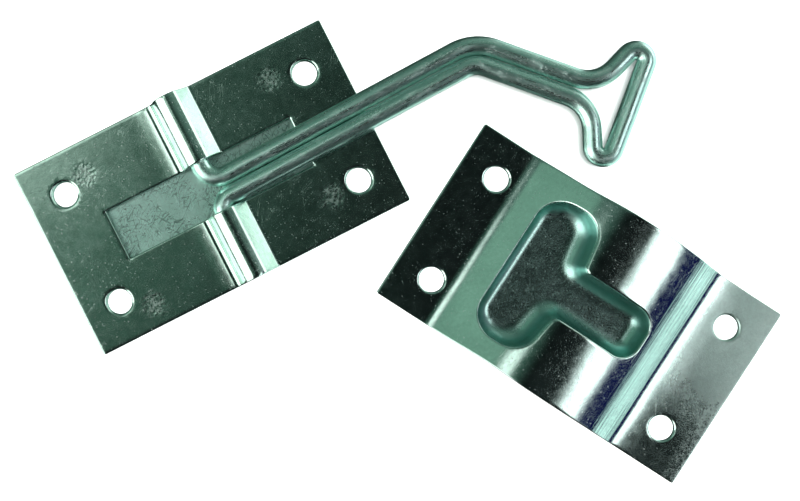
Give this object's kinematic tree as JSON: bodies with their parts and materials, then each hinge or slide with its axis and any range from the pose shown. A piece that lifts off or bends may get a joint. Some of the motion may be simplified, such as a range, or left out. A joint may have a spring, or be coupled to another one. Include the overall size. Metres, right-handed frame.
{
  "type": "gravity gate latch",
  "caption": "Zinc-plated gate and door holder: a hinged double-wire arm with a T head on a hook plate, and an arched socket plate with a T-shaped pocket.",
  "frame": {"origin": "middle of the hook plate's back face, on the surface it is screwed to", "axes": "+X along the hook plate towards the arm's head, +Y along the arm's hinge axis, +Z away from the mounting surface"},
  "size_m": [0.157, 0.1446, 0.0118],
  "materials": {
    "zinc_back_plate": "bright zinc plating with a faint blue-green cast, lightly scuffed",
    "zinc_front_plate": "bright zinc plating with a green cast, fine spangle and specks, rough round spot-weld marks",
    "zinc_wire": "bright zinc plating on drawn wire, fine lengthwise streaks",
    "zinc_socket_plate": "bright zinc plating with a blue-green cast, drawing lines on the steep side, specks and scratches"
  },
  "bodies": {
    "hook_plate": {"hook_back_plate": "zinc_back_plate", "hook_front_plate": "zinc_front_plate"},
    "arm": {"wire_arm": "zinc_wire"},
    "socket": {"socket_plate": "zinc_socket_plate"}
  },
  "joints": [
    {"name": "arm_swing", "type": "hinge", "parent": "hook_plate", "child": "arm", "pos_m": [0, 0, 0.0037], "axis": [0, -1, 0], "range_deg": [0, 174]},
    {"name": "socket_lift_off", "type": "slide", "parent": "hook_plate", "child": "socket", "axis": [0, 0, 1], "range_m": [0, 0.02]}
  ]
}
